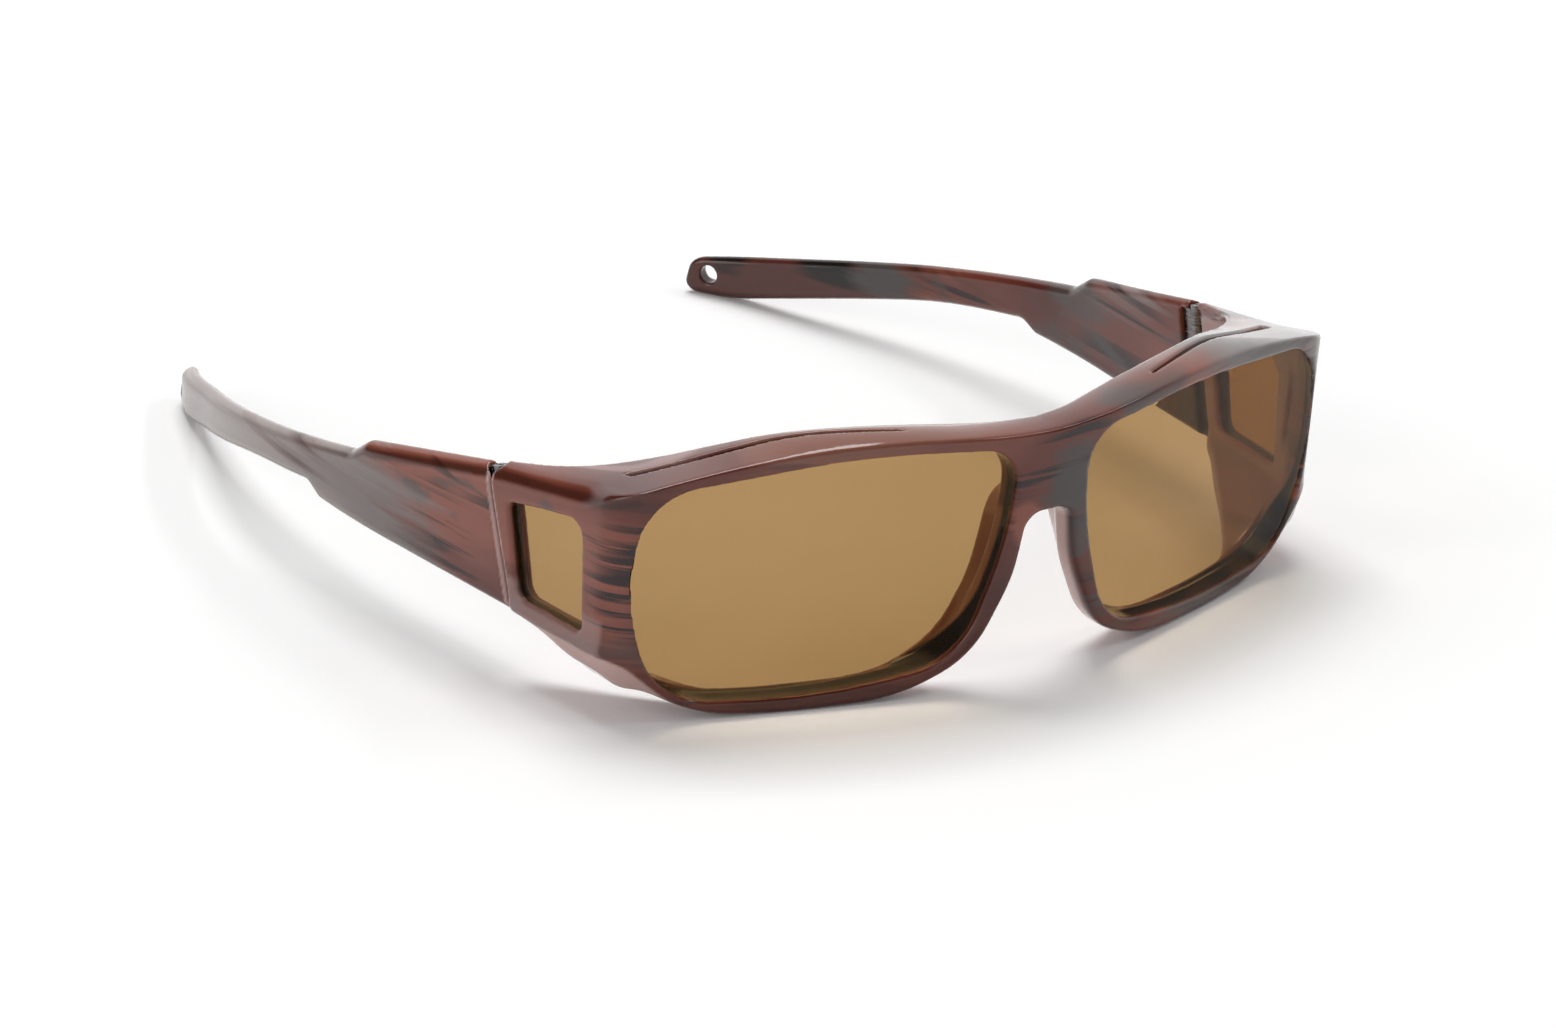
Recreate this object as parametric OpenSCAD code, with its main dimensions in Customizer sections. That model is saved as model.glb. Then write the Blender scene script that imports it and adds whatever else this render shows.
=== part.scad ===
// Fit-over sunglasses with rectangular rims: a moulded front with a brow shelf and windowed side walls,
// two front lenses, two side lenses, and two temples that fold on small metal hinges.
// The wearer looks along -Y and the wearer's right is -X. They stand on Z = 0, on the rims and temple tips.

/* [Lenses] */
// Width of each lens opening
lens_w = 61.2; // [50:0.2:74]
// Height of each lens opening
lens_h = 41.2; // [34:0.2:48]
// Thickness of every lens
lens_t = 2; // [1.4:0.1:2.6]
// How far a lens lies behind the face of its rim
lens_inset = 0.5; // [0.3:0.1:1]
// How far a lens reaches into its groove
groove = 0.8; // [0.5:0.1:1.2]

/* [Front] */
// Width of the bridge between the lens openings
bridge_w = 14.6; // [12:0.2:20]
// Rim below the lens opening
rim_low = 2.6; // [2:0.1:4]
// Rim above the lens opening, at the crest of the brow
rim_top = 2.1; // [1.6:0.1:3.5]
// Rim beside the lens opening, out to the side wall
rim_side = 2.9; // [2.2:0.1:4.5]
// Thickness of the rims
rim_d = 4; // [3.3:0.1:4]
// Thickness of the side walls and of each temple at the seam
wall = 4.2; // [3.8:0.1:5]
// Forward lean of the rims at the top, in degrees
front_lean = 4.4; // [0:0.2:8]
// Slope that the wrapped front comes close to at its corners
wrap_slope = 0.4; // [0.3:0.01:0.45]
// Distance from the middle over which the front bends
wrap_bend = 30.7; // [24:0.1:40]
// Radius of the corner between front and side wall
corner_r = 4.5; // [3.5:0.5:7]
// Length of a side wall, from the corner to the middle of the hinge
side_len = 32.2; // [30:0.2:42]
// Outward splay of the side walls and temples, in degrees
splay = 4.3; // [2:0.1:6]
// Height of a side wall's lower edge
side_low = 12; // [10:0.5:14]
// Height at which the nose notch ends
notch_h = 29.8; // [24:0.2:33]

/* [Shelf and flanges] */
// Thickness of the brow shelf
shelf_t = 2.2; // [1.6:0.1:3]
// Depth of the brow shelf over the inner half of each lens
shelf_d = 8.6; // [7:0.2:11]
// Width of each vent slit in the brow shelf
slit_w = 1.9; // [1:0.1:2.4]
// Thickness of the nose and bottom flanges
flange_t = 1.8; // [1.4:0.1:2.4]
// Depth of the nose flange behind the face, at the top of the notch
nose_d = 9.8; // [7:0.2:12]
// Depth of the bottom flange behind the face
flange_d = 7.4; // [6:0.2:9]

/* [Side windows] */
// Width of a side window along its sill
window_w = 16.4; // [12:0.2:20]
// Height of a side window at its front
window_h = 19.2; // [15:0.2:22]
// Wall under a side window
window_sill = 2.1; // [1.6:0.1:3]
// Wall between a side window and the middle of the hinge, at the window's top
window_post = 4.8; // [4.8:0.1:8]

/* [Temples] */
// Length of a temple, from the seam to the tip
temple_len = 124.4; // [102:0.2:150]
// Height of a temple at the seam
temple_h = 22.2; // [20:0.2:24]
// Height of a temple's arm behind its steps
arm_h = 7.7; // [6:0.1:9]
// Height of a temple's tip
tip_h = 6.6; // [5.5:0.1:8]
// Thickness of a temple at its tip
tip_t = 3; // [2.4:0.1:3.6]
// Distance from the seam to the step on the upper edge
top_step = 35; // [28:0.5:42]
// Distance from the seam to the step on the lower edge
low_step = 50; // [46:0.5:60]
// Radius of the inward bend behind the straight part
bend_r = 165; // [140:1:260]
// Length of a temple's straight part
straight = 28; // [20:0.5:40]
// Diameter of the cord hole in each tip
hole_d = 3.4; // [2.4:0.1:4]

/* [Hinges] */
// Height of the middle of each hinge
hinge_z = 29.4; // [26:0.2:31]
// Height of a hinge's three knuckles together
hinge_h = 8; // [6:0.2:9]
// Radius of the knuckles
knuckle_r = 1.3; // [1.1:0.02:1.56]
// Radius of the hinge screw
screw_r = 0.7; // [0.5:0.05:0.8]
// Radial clearance of the screw in the temple's knuckle
screw_play = 0.05; // [0.02:0.01:0.1]
// Backward lean of the hinge axis, in degrees
hinge_lean = 12; // [6:0.5:14]
// Backward lean of the seam between front and temple, in degrees
seam_lean = 16; // [8:0.5:18]
// Distance from the hinge axis forward to the middle of the seam, at the hinge's middle
seam_ahead = 0.5; // [0:0.1:0.8]
// Width of the seam
seam_gap = 0.4; // [0.3:0.05:0.8]

/* [Hidden] */
$fn = 48;

frame_red = "#6e3a30";
lens_brown = [0.62, 0.47, 0.28, 0.75];
metal = "#9a9a9c";

// Room around a lens or leaf in its pocket, and the reach of cuts past a face
fit = 0.03;
over = 60;

// How far side walls and temples are drawn past the hinge, before the seam is cut
overlap = 12;

// Heights, measured along the leaning rims
lens_low = rim_low;
lens_high = rim_low + lens_h;
crest_z = lens_high + rim_top;
mid_z = crest_z / 2;

// Places across the front
lens_in = bridge_w / 2;
lens_out = lens_in + lens_w;
half_w = lens_out + rim_side;
crest_x = 0.436 * half_w;
brow_dip = 1.6;
brow_drop = 5.8;

// Places along the side: the bend at the corner, and the middle of the hinge
corner_y = face_y(half_w);
hinge_y = corner_y + side_len;
hinge_x = half_w + side_len * tan(splay) - wall + knuckle_r;
wall_top_z = hinge_z + 5.8;

// Recess on the inner side of wall and temple, each way from the hinge, and its room around the knuckles.
// Above the knuckles it narrows to a round hole over the screw, in which the temple's inner corner swings.
front_recess = 2.4;
temple_recess = 3.6;
knuckle_room = 0.4;
screw_hole_r = 1.85;

// Hinge: reach of each leaf, share of the height that the middle knuckle takes, and the gap beside it
front_leaf = 3.7;
temple_leaf = 9;
leaf_t = 1;
middle_share = 0.38;
knuckle_gap = 0.08;
head_r = 1.25;
head_h = 0.8;
screw_slot = 0.35;

// Whole length, and the middle of it, where the origin lies
tip_y = hinge_y + temple_len;
front_most = -(brow_z(0) - mid_z) * tan(front_lean);
origin_y = (front_most + tip_y) / 2;

function unit(v) = v / norm(v);
function flip(points) = [for (i = [len(points) - 1 : -1 : 0]) points[i]];
function mirrored(points) = [for (p = flip(points)) [-p.x, p.y]];
function blend(a, b, t) = a + (b - a) * t;
function ease(t) = t * t * (3 - 2 * t);

// Front face in plan: how far it lies behind the bridge at a distance from the middle
function face_y(x) = wrap_slope * (sqrt(x * x + wrap_bend * wrap_bend) - wrap_bend);

// Height of the brow's front edge at a distance from the middle
function brow_z(x) =
    let (d = abs(x) - crest_x)
    crest_z - (d < 0 ? brow_dip * ease(-d / crest_x) : brow_drop * pow(d / (half_w - crest_x), 2));

// Points of the arc of radius r that replaces the corner b between a and c, or of the largest that fits
function fillet(a, b, c, r) =
    let (
        u = unit(a - b),
        v = unit(c - b),
        half = acos(u * v) / 2,
        reach = min(r / tan(half), 0.49 * norm(a - b), 0.49 * norm(c - b)),
        fit_r = reach * tan(half),
        centre = b + unit(u + v) * fit_r / sin(half),
        p = b + u * reach - centre,
        q = b + v * reach - centre,
        start = atan2(p.y, p.x),
        turn = (atan2(q.y, q.x) - start + 540) % 360 - 180,
        steps = max(2, ceil(abs(turn) / 9))
    )
    [for (i = [0 : steps]) centre + fit_r * [cos(start + turn * i / steps), sin(start + turn * i / steps)]];

// A loop of corners [x, y, radius] with each corner rounded; radius 0 keeps it sharp
function rounded(corners) =
    let (n = len(corners), at = [for (c = corners) [c.x, c.y]])
    [for (i = [0 : n - 1])
        each (corners[i].z == 0 ? [at[i]] : fillet(at[(i + n - 1) % n], at[i], at[(i + 1) % n], corners[i].z))];

// An open line moved sideways by d, to the left of its direction
function beside(line, d) =
    let (n = len(line))
    [for (i = [0 : n - 1])
        let (t = unit(line[min(i + 1, n - 1)] - line[max(i - 1, 0)]))
        line[i] + d * [-t.y, t.x]];

// A clockwise loop grown outward by d
function grown(loop, d) =
    let (n = len(loop))
    [for (i = [0 : n - 1])
        let (t = unit(loop[(i + 1) % n] - loop[(i + n - 1) % n]))
        loop[i] + d * [-t.y, t.x]];

// Plan outline of the outer face, from the middle of the bridge to past the seam
function half_contour() =
    let (
        front = [for (x = [0 : 5 : lens_out - 5]) [x, face_y(x)]],
        corner = [half_w, corner_y],
        end = corner + (side_len + overlap) * [tan(splay), 1]
    )
    concat(front, fillet(front[len(front) - 1], corner, end, corner_r), [end]);

function contour() = let (half = half_contour()) concat(mirrored([for (i = [1 : len(half) - 1]) half[i]]), half);

// Depth of the outer face at a distance from the middle, its rounded corner included
function outer_y(x) = lookup(x, half_contour());

// Lens opening on the wearer's left, clockwise
function lens_outline() =
    let (low = lens_low, high = lens_high, l = lens_in, r = lens_out)
    rounded([
        [l - 0.4, high - 1.8, 7],
        [l + 0.42 * lens_w, high + 0.6, 110],
        [r - 1.5, high - 3.8, 10],
        [r + 0.8, low + 0.46 * lens_h, 50],
        [r - 5, low + 0.8, 17],
        [l + 0.5 * lens_w, low - 0.3, 110],
        [l + 7.2, low + 3.2, 13],
        [l + 0.3, low + 0.58 * lens_h, 60],
    ]);

// How far the front view is drawn beyond the corners, to take in the splayed side walls
side_room = 9;

// Lower outline of the front on the wearer's left, from the top of the nose notch to the side wall.
// Its lowest point lies on Z = 0.
function lower_curve() = [for (p = rounded([
    [-20, notch_h, 0],
    [lens_in - 3, notch_h, 3.4],
    [lens_in - 1.4, 0.64 * notch_h, 25],
    [lens_in + 4.9, 0.2 * notch_h, 16],
    [lens_in + 17.5, 0.2, 35],
    [lens_in + 0.6 * lens_w, -0.2, 90],
    [half_w - 13, 0.8, 20],
    [half_w - 1.6, side_low - 0.6, 8],
    [half_w + side_room, side_low - 0.2, 0],
])) if (p.x >= 0) p];
function lower_outline() =
    let (curve = lower_curve(), lowest = min([for (p = curve) p.y]))
    [for (p = curve) p - [0, lowest]];

// Front view of the rims and bridge
function front_outline() =
    let (
        steps = 24,
        low = concat([[0, notch_h]], lower_outline()),
        half = concat(low, [for (i = [0 : steps - 1])
            let (x = (half_w + side_room) * (1 - i / steps))
            [x, brow_z(min(x, half_w))]])
    )
    concat(half, [[0, brow_z(0)]], [for (p = flip(half)) if (p.x > 0) [-p.x, p.y]]);

// Height of a side wall's upper edge at a distance behind the bridge
function wall_top(y) = blend(crest_z - brow_drop, wall_top_z, (y - corner_y) / side_len);

// Side view of the front, trimmed to the slope of the side walls' upper edge
function side_outline() = [
    [-over, -1],
    [-over, crest_z + 5],
    [corner_y, crest_z + 5],
    [corner_y, wall_top(corner_y)],
    [hinge_y + overlap, wall_top(hinge_y + overlap)],
    [hinge_y + overlap, -1],
];

// Side window, in side view: its rear edge leans back, and its upper edge slopes down with the wall
window_lean = 10;
window_drop = 3.2;
function window_outline() =
    let (
        low = side_low + window_sill,
        top = low + window_h,
        rear_top = hinge_y - window_post,
        rear_low = rear_top - (window_h - window_drop) * tan(window_lean),
        front = rear_low - window_w
    )
    rounded([
        [front, low, 1.5],
        [front + 0.4, top, 3],
        [rear_top - 8, top - window_drop / 2, 20],
        [rear_top, top - window_drop, 1],
        [rear_low, low + 0.5, 2.5],
    ]);

// Puts a shape drawn in side view (y, z), or in front view (x, z), across the whole glasses
module across_x() {
    translate([-over * 2, 0, 0]) rotate([90, 0, 90]) linear_extrude(over * 4) children();
}

module along_y() {
    translate([0, over * 2, 0]) rotate([90, 0, 0]) linear_extrude(over * 4) children();
}

// Leans what is drawn upright with the rims, about the middle of their height
module leaned() {
    translate([0, 0, mid_z]) rotate([front_lean, 0, 0]) translate([0, 0, -mid_z]) children();
}

// A curved sheet that follows the outer face, from depth d0 to depth d1 behind it
module sheet(d0, d1) {
    line = contour();
    leaned() translate([0, 0, -10]) linear_extrude(crest_z + 20)
        polygon(concat(beside(line, d0), flip(beside(line, d1))));
}

// A strip between two edges in space, thickened by the matching vectors
module strip(front, rear, thick) {
    n = len(front);
    points = [for (i = [0 : n - 1]) each [front[i], rear[i], rear[i] + thick[i], front[i] + thick[i]]];
    sides = [for (i = [0 : n - 2], k = [0 : 3])
        let (a = 4 * i + k, b = 4 * i + (k + 1) % 4)
        each [[a, b, b + 4], [a, b + 4, a + 4]]];
    ends = [[0, 2, 1], [0, 3, 2], [4 * n - 4, 4 * n - 3, 4 * n - 2], [4 * n - 4, 4 * n - 2, 4 * n - 1]];
    polyhedron(points, concat(sides, ends), convexity = 6);
}

// Depth of the brow shelf behind the face, at a share of the way out to the side wall. It grows from the
// bridge to the inner part of the lens, and again towards the side wall.
shelf_growth = [[0.5, 0], [0.57, 0.6], [0.69, 3.6], [0.81, 7.3], [0.89, 10.2], [0.96, 14.5], [1, 20]];
function shelf_back(share) =
    shelf_d * blend(0.63, 1, ease(min(1, abs(share) / 0.28))) + lookup(share, shelf_growth);

// Depth inside the rims at which shelf and flange begin, and how far they lie inside its edges
root = 0.8;
edge_inset = 0.15;

// Brow shelf on the wearer's left: a strip from the rim back to its free rear edge, which comes down to
// the upper edge of the side wall
module half_shelf() {
    reach = half_w - 0.5 * wall;
    shares = [-0.02, 0, 0.05, 0.1, 0.15, 0.2, 0.28, 0.4, 0.5, 0.57, 0.63, 0.69, 0.75, 0.81, 0.85, 0.89, 0.93, 0.96, 1];
    front = [for (share = shares)
        let (x = share * reach, z = brow_z(x) - edge_inset)
        [x, outer_y(x) + root - (z - mid_z) * tan(front_lean), z]];
    rear = [for (share = shares)
        let (x = share * reach, y = face_y(x) + shelf_back(share))
        [x, y, blend(brow_z(x), wall_top(y), pow(share, 5)) - 2 * edge_inset]];
    strip(front, rear, [for (share = shares) [0, 0, -shelf_t]]);
}

// Vent slit: it runs back from the face towards its outer end, and widens
slit_inner = lens_in + 17.5;
slit_outer = lens_out - 4.2;
slit_depth = [3, 9.6];
module slit() {
    steps = 12;
    line = [for (i = [0 : steps])
        let (x = blend(slit_inner, slit_outer, i / steps))
        [x, face_y(x) + blend(slit_depth[0], slit_depth[1], i / steps)]];
    half = [for (i = [0 : steps]) [0, blend(slit_w / 3, slit_w, i / steps) / 2]];
    translate([0, 0, mid_z]) linear_extrude(over) polygon(concat(line + half, flip(line - half)));
}

// Nose and bottom flange on the wearer's left: a ring inside the lower outline, deepest at the nose, that
// runs back along the foot of the side wall
module half_flange() {
    line = concat([[-1, notch_h]], [for (p = lower_outline()) if (p.x > 0.5 && p.x < half_w - 0.6) p]);
    wall_end = hinge_y - front_recess - 1.5;
    places = [-1, 0, 2, 4, 6, 9, 12, each [16 : 6 : half_w - 8], half_w - 5, half_w - 3, half_w - 1.5, half_w];
    front = [for (x = places) [x, outer_y(abs(x)) + root]];
    rear = [for (x = places)
        let (
            nose = 1 - ease(min(1, max(0, x - 0.5 * lens_in) / lens_in)),
            side = pow(min(1, max(0, (x - lens_in) / lens_w - 0.72) / 0.31), 1.7),
            own = face_y(x) + blend(flange_d, nose_d, nose)
        )
        [x, blend(own, wall_end, side)]];
    intersection() {
        along_y() polygon(concat(beside(line, edge_inset), flip(beside(line, edge_inset + flange_t))));
        leaned() linear_extrude(mid_z * 1.5) polygon(concat(rear, flip(front)));
    }
}

// Draws its children and their mirror image
module both() {
    children();
    mirror([1, 0, 0]) children();
}

// Pieces are drawn on the wearer's left, where X is positive, and mirrored to the right. The origin lies
// under the middle of the whole length.
module placed(right = false) {
    translate([0, -origin_y, 0]) mirror([right ? 1 : 0, 0, 0]) children();
}

// Frame of the hinge: Z along its axis, Y back along the temple, X outward
module at_hinge(lean = hinge_lean) {
    translate([hinge_x, hinge_y, hinge_z]) rotate([0, 0, -splay]) rotate([-lean, 0, 0]) children();
}

// Everything on one side of the seam: behind it, or ahead of it
module past_seam(behind) {
    reach = 4 * over;
    at_hinge(seam_lean) translate([-over, -seam_ahead + (behind ? -seam_gap / 2 : seam_gap / 2 - reach), -over])
        cube([2 * over, reach, 2 * over]);
}

// Recess between two distances behind the hinge
module recess(y0, y1) {
    top = hinge_h / 2 + knuckle_gap;
    at_hinge() {
        translate([-over / 2, y0, -over]) cube([over / 2 + knuckle_r + knuckle_room, y1 - y0, over + top]);
        cylinder(r = screw_hole_r, h = over);
    }
}

// Plate of a hinge leaf between two distances behind the hinge
module leaf(y0, y1, grow = 0) {
    translate([-leaf_t / 2 - grow, y0 - grow, -hinge_h / 2 - grow])
        cube([leaf_t + 2 * grow, y1 - y0 + 2 * grow, hinge_h + 2 * grow]);
}

// Part of the space that holds the wearer's left side wall alone
module left_side() {
    translate([half_w / 2, -over, -over]) cube([2 * over, 4 * over, 2 * over]);
}

// All that lies ahead of a curve a distance behind the front face, on the wearer's left
module ahead_of(depth) {
    line = [for (x = [0 : 5 : half_w + 5]) [x, face_y(x) + depth]];
    leaned() translate([0, 0, -10]) linear_extrude(crest_z + 20)
        polygon(concat(line, [[line[len(line) - 1].x, -over], [0, -over]]));
}

// A front lens ends in the rim, and doesn't follow the corner round into the side wall
module front_lens_shape(grow = 0) {
    intersection() {
        along_y() polygon(grown(lens_outline(), groove + grow));
        sheet(lens_inset - grow, lens_inset + lens_t + grow);
        ahead_of(1.2 * (lens_inset + lens_t) + grow);
    }
}

module side_lens_shape(grow = 0) {
    inset = (wall - lens_t) / 2;
    intersection() {
        left_side();
        across_x() polygon(grown(window_outline(), groove + grow));
        sheet(inset - grow, inset + lens_t + grow);
    }
}

module front_cuts() {
    intersection() {
        along_y() polygon(lens_outline());
        ahead_of(1.3 * rim_d);
    }
    intersection() {
        left_side();
        across_x() polygon(window_outline());
    }
    front_lens_shape(fit);
    side_lens_shape(fit);
    slit();
    past_seam(true);
    recess(-front_recess, 2);
    at_hinge() leaf(-front_leaf, 0, fit);
}

// Rims and bridge, or the side walls behind them, as one curved sheet cut to both outlines
module shell(thick) {
    intersection() {
        sheet(0, thick);
        along_y() polygon(front_outline());
        across_x() polygon(side_outline());
    }
}

module front_frame() {
    color(frame_red) difference() {
        union() {
            shell(rim_d);
            intersection() {
                shell(wall);
                translate([-over * 2, corner_y + 2, 0]) cube([over * 4, over * 2, over]);
            }
            both() half_shelf();
            both() half_flange();
        }
        both() front_cuts();
    }
}

module front_lens() {
    color(lens_brown) front_lens_shape();
}

module side_lens() {
    color(lens_brown) side_lens_shape();
}

// Temple in side view: a blade with a step down on both edges, an arm, and a flat rest under the tip
blade_slope = 0.217;
arm_slope = 0.2;
low_z = side_low + 0.8;
arm_z = low_z + 1.7;
function temple_outline() =
    let (
        top = low_z + temple_h,
        step_y = hinge_y + top_step,
        arm_y = hinge_y + low_step,
        arm_top = arm_z + arm_h
    )
    rounded([
        [hinge_y - overlap, low_z, 0],
        [hinge_y - overlap, top + overlap * blade_slope, 0],
        [step_y - 1.4, top - (top_step - 1.4) * blade_slope, 3],
        [step_y + 3, arm_top + (low_step - top_step - 3) * arm_slope, 4],
        [arm_y + 26, arm_top - 26 * arm_slope, 300],
        [tip_y - 1.2, tip_h, 3],
        [tip_y, 0, 2.2],
        [tip_y - 8.5, 0, 30],
        [arm_y + 22, arm_z - 3.1, 150],
        [arm_y + 1, arm_z, 4],
        [arm_y - 2.6, low_z, 3],
    ]);

// Temple in plan: its heading and its middle line at a distance s behind the hinge, first straight and
// then bending inward
function heading(s) = splay - max(0, s - straight) / bend_r * 180 / PI;
function temple_at(s) =
    let (
        start = [hinge_x - knuckle_r + wall / 2, hinge_y],
        bend_at = start + min(s, straight) * [sin(splay), cos(splay)],
        a = heading(s)
    )
    bend_at + bend_r * [cos(a) - cos(splay), sin(splay) - sin(a)];

function temple_plan() =
    let (
        steps = 26,
        end = temple_len + 1.5 * overlap,
        at = concat([-1.2 * overlap], [for (i = [0 : steps]) blend(straight, end, i / steps)]),
        half = [for (s = at)
            blend(wall, tip_t, max(0, s - straight) / (end - straight)) / 2 * [cos(heading(s)), -sin(heading(s))]],
        middle = [for (s = at) temple_at(s)]
    )
    concat(middle + half, flip(middle - half));

module tip_hole() {
    s = temple_len - 1.4;
    p = temple_at(s);
    translate([p.x, p.y, 0.62 * tip_h]) rotate([0, 90, -heading(s)])
        cylinder(d = hole_d, h = 3 * wall, center = true);
}

module temple() {
    color(frame_red) difference() {
        intersection() {
            across_x() polygon(temple_outline());
            translate([0, 0, -5]) linear_extrude(over) polygon(temple_plan());
        }
        past_seam(false);
        recess(-4, temple_recess);
        at_hinge() leaf(0, temple_leaf, fit);
        tip_hole();
    }
}

// The middle knuckle belongs to the temple, the two outer ones to the front
middle_h = middle_share * hinge_h;

module knuckle(h) {
    cylinder(r = knuckle_r, h = h, center = true);
}

module bore(r) {
    cylinder(r = r, h = 2 * hinge_h, center = true);
}

module front_hinge() {
    color(metal) at_hinge() difference() {
        union() {
            leaf(-front_leaf, 0);
            knuckle(hinge_h);
        }
        cylinder(r = knuckle_r + knuckle_room, h = middle_h, center = true);
        bore(screw_r);
    }
}

module temple_hinge() {
    outer_h = (hinge_h - middle_h) / 2 + knuckle_gap;
    color(metal) at_hinge() difference() {
        union() {
            leaf(0, temple_leaf);
            knuckle(hinge_h);
        }
        for (end = [-1, 1])
            translate([0, 0, end * (middle_h / 2 - knuckle_gap + outer_h / 2)])
                cylinder(r = knuckle_r + knuckle_room, h = outer_h, center = true);
        bore(screw_r + screw_play);
    }
}

module hinge_screw() {
    color(metal) at_hinge() difference() {
        union() {
            cylinder(r = screw_r, h = hinge_h, center = true);
            translate([0, 0, hinge_h / 2]) cylinder(r = head_r, h = head_h);
        }
        translate([0, 0, hinge_h / 2 + head_h]) cube([screw_slot, 3 * head_r, head_h], center = true);
    }
}

placed() front_frame();
placed(right = true) front_lens();  // lens_right
placed() front_lens();  // lens_left
placed(right = true) side_lens();  // side_lens_right
placed() side_lens();  // side_lens_left
placed(right = true) temple();  // temple_right
placed() temple();  // temple_left
placed(right = true) front_hinge();  // front_hinge_right
placed() front_hinge();  // front_hinge_left
placed(right = true) temple_hinge();  // temple_hinge_right
placed() temple_hinge();  // temple_hinge_left
placed(right = true) hinge_screw();  // hinge_screw_right
placed() hinge_screw();  // hinge_screw_left
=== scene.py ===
"""Fit-over sunglasses with rectangular rims, streaked red-brown plastic, brown lenses and metal hinges.

Shapes are worked out in millimetres in the plan frame of the part: X to the wearer's left, Y back from the
bridge, Z up from the floor. They move to the part's own frame, in metres, when a mesh is made.
"""

import bpy
import numpy as np
from mathutils import Matrix, Vector


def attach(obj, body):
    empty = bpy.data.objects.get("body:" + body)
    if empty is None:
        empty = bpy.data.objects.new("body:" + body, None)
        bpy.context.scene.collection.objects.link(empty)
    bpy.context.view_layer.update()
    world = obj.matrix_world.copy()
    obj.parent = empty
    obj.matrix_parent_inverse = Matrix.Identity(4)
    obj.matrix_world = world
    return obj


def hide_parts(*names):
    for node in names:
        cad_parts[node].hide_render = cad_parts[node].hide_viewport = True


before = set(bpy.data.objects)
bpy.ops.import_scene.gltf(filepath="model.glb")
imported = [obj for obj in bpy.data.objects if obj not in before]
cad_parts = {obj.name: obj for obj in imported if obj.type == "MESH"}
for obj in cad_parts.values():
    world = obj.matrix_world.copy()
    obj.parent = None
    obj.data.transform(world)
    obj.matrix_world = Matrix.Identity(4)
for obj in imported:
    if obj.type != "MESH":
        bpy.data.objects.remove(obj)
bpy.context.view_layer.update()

# All sizes of shapes are in millimetres, and leans, splays and slants are in degrees
MM_PER_M = 1000
ORIGIN_Y = 86.8827

# Lenses
LENS_W = 61.2
LENS_H = 41.2
LENS_T = 2.0
LENS_INSET = 0.5
LENS_GRIP = 0.6
LENS_EDGE_R = 0.2

# Front; its rims are 4 deep in the CAD model, and their rounded backs reach 5 here
BRIDGE_W = 14.6
RIM_LOW = 2.6
RIM_TOP = 2.1
RIM_SIDE = 2.9
RIM_D = 5.0
WALL = 4.2
FRONT_LEAN = 4.4
WRAP_SLOPE = 0.4
WRAP_BEND = 30.7
CORNER_R = 4.5
SIDE_LEN = 32.2
SPLAY = 4.3
SIDE_LOW = 12.0
NOTCH_H = 29.8
CREST_SHARE = 0.436
BROW_DIP = 1.6
BROW_DROP = 5.8

# Windows in the side walls
WINDOW_W = 16.4
WINDOW_H = 19.2
WINDOW_SILL = 2.1
WINDOW_POST = 4.8
WINDOW_DROP = 3.2
WINDOW_SLANT = 10.0
WINDOW_IN = 35.0

# Brow shelf and its vent slits, whose line lies aslant
SHELF_T = 2.2
SLIT_W = 1.9
SLIT_FROM = 17.5
SLIT_SHORT = 21.7
SLIT_HALF = 21.7
SLIT_BEHIND = (3, 9.6)
SLIT_NARROWEST = 1 / 3
SLIT_ACROSS = 0.93
SLIT_ALONG = 1.1

# Nose flange, lower flange, how it runs back under a side wall, and how far both lean in and hang down
FLANGE_T = 1.8
FLANGE_D = 7.4
NOSE_D = 9.8
RUN_FROM = 0.72
RUN_LENGTH = 0.31
RUN_POWER = 1.7
FLANGE_SET = 0.15
FLANGE_HANG = 3.0
FLANGE_FROM_SEAM = 3.9
FLANGE_BEHIND = 0.8
FLANGE_INSIDE = 0.7
FLANGE_ABOVE = 4.0
LEAN_IN = 1.0
NOSE_LEAN_IN = 3.2

# Temples
TEMPLE_LEN = 124.4
TEMPLE_H = 22.2
TEMPLE_RAISED = 0.8
SEAM_DROP = 1.5
BLADE_SLOPE = 0.217
ARM_SLOPE = 0.2
ARM_H = 7.7
ARM_RAISED = 1.7
TOP_STEP = 35.0
LOW_STEP = 50.0
STRAIGHT = 28.0
BEND_R = 165.0
TAPER_PAST = 18.0
TIP_H = 6.6
TIP_T = 3.0
TIP_FLARE = 1.4
FLARE_LEN = 24.0
HOLE_R = 1.7
HOLE_FROM_TIP = 1.4
HOLE_HEIGHT = 0.62 * TIP_H

# Hinges, the recess around their knuckles, and the seam between side wall and temple
HINGE_Z = 29.4
HINGE_H = 8.0
HINGE_LEAN = 12.0
KNUCKLE_R = 1.3
KNUCKLE_ROOM = 0.4
END_ROOM = 0.1
SCREW_HOLE_R = 1.85
SWING_R = 1.6
FRONT_RECESS = (2.4, 1.1)
TEMPLE_RECESS = (3.6, 0.2)
SEAM_LEAN = 16.0
SEAM_AHEAD = 0.5
SEAM_GAP = 0.4

# Radii of rounded edges, and of fillets between surfaces
BROW_R = 0.6
WALL_TOP_R = 4.0
SHELF_R = 0.9
SHELF_FILLET = 1.0
BACK_R = 0.6
RIM_LOW_R = 0.9
WALL_LOW_R = 1.4
FLANGE_R = 0.6
FLANGE_OUTER_R = 1.2
RIM_FLANGE_FILLET = 0.8
WALL_FLANGE_FILLET = 1.8
OPENING_R = 0.4
WINDOW_R = 0.5
SLIT_END_R = 0.3
SLIT_R = 0.25
SEAM_R = 0.5
RECESS_R = 0.2
HOLE_EDGE_R = 0.35
BLADE_CREST_R = 3.5
ARM_CREST_R = 2.0
TEMPLE_EDGE_SHARE = 0.92

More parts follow.
